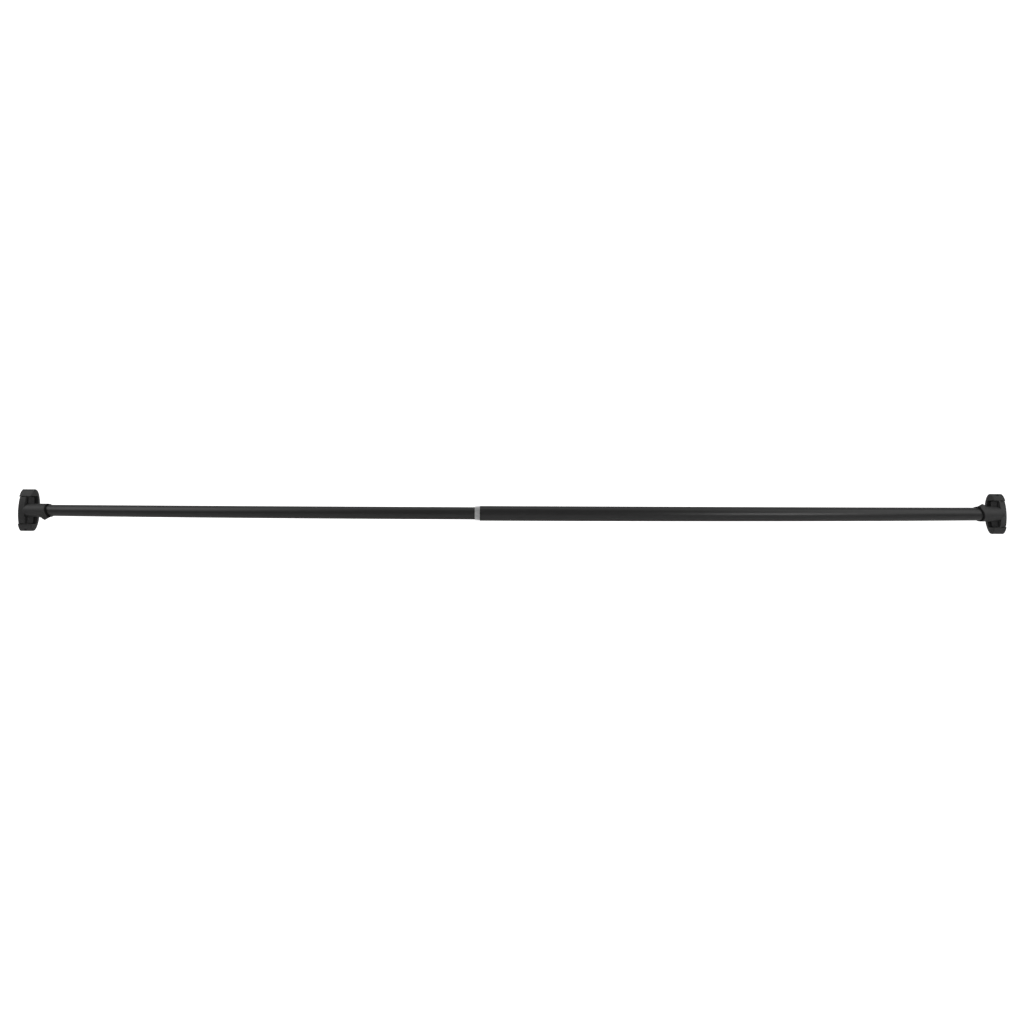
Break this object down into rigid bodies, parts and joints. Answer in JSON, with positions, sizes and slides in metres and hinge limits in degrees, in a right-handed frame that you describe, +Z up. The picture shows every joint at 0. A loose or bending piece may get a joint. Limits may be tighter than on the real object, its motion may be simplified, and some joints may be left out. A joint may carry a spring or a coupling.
{
  "type": "curved shower curtain rod",
  "caption": "Telescoping curved shower curtain rod, with a sliding tube, a frosted joint collar and a swivelling wall bracket at each end.",
  "frame": {"origin": "middle of the left wall plate's back, on the left wall", "axes": "+X runs along the span from the left wall to the right wall, -Y is the side that the rod bows out to, +Z is up"},
  "size_m": [1.8288, 0.2405, 0.076],
  "materials": {
    "black_tube": "matte black powder coat",
    "black_moulding": "matte black moulding",
    "black_rubber": "matte black rubber",
    "frosted_plastic": "frosted pale grey",
    "nylon": "black nylon",
    "plated_steel": "zinc plated",
    "black_steel": "black oxide"
  },
  "bodies": {
    "left_mount": {"left_yoke": "black_moulding", "left_wall_plate": "plated_steel", "left_lock_screw": "black_steel", "left_pivot_pin": "black_steel", "left_pivot_washers": "nylon"},
    "left_arm": {"left_swivel_arm": "black_moulding", "left_tube_ring": "black_rubber", "left_tube_screw": "black_steel", "inner_tube": "black_tube", "inner_glide": "nylon"},
    "right_arm": {"right_swivel_arm": "black_moulding", "right_tube_ring": "black_rubber", "right_tube_screw": "black_steel", "outer_tube": "black_tube", "joint_collar": "frosted_plastic"},
    "right_mount": {"right_yoke": "black_moulding", "right_wall_plate": "plated_steel", "right_lock_screw": "black_steel", "right_pivot_pin": "black_steel", "right_pivot_washers": "nylon"}
  },
  "joints": [
    {"name": "left_swivel", "type": "hinge", "parent": "left_mount", "child": "left_arm", "pos_m": [0.01065, -0.006, 0], "axis": [0, 0, 1], "range_deg": [-5, 25]},
    {"name": "telescope", "type": "hinge", "parent": "left_arm", "child": "right_arm", "pos_m": [0.9144, 1.89003, 0], "axis": [0, 0, -1], "range_deg": [0, 20.7]},
    {"name": "right_swivel", "type": "hinge", "parent": "right_arm", "child": "right_mount", "pos_m": [1.81815, -0.006, 0], "axis": [0, 0, 1], "range_deg": [-5, 25]}
  ]
}
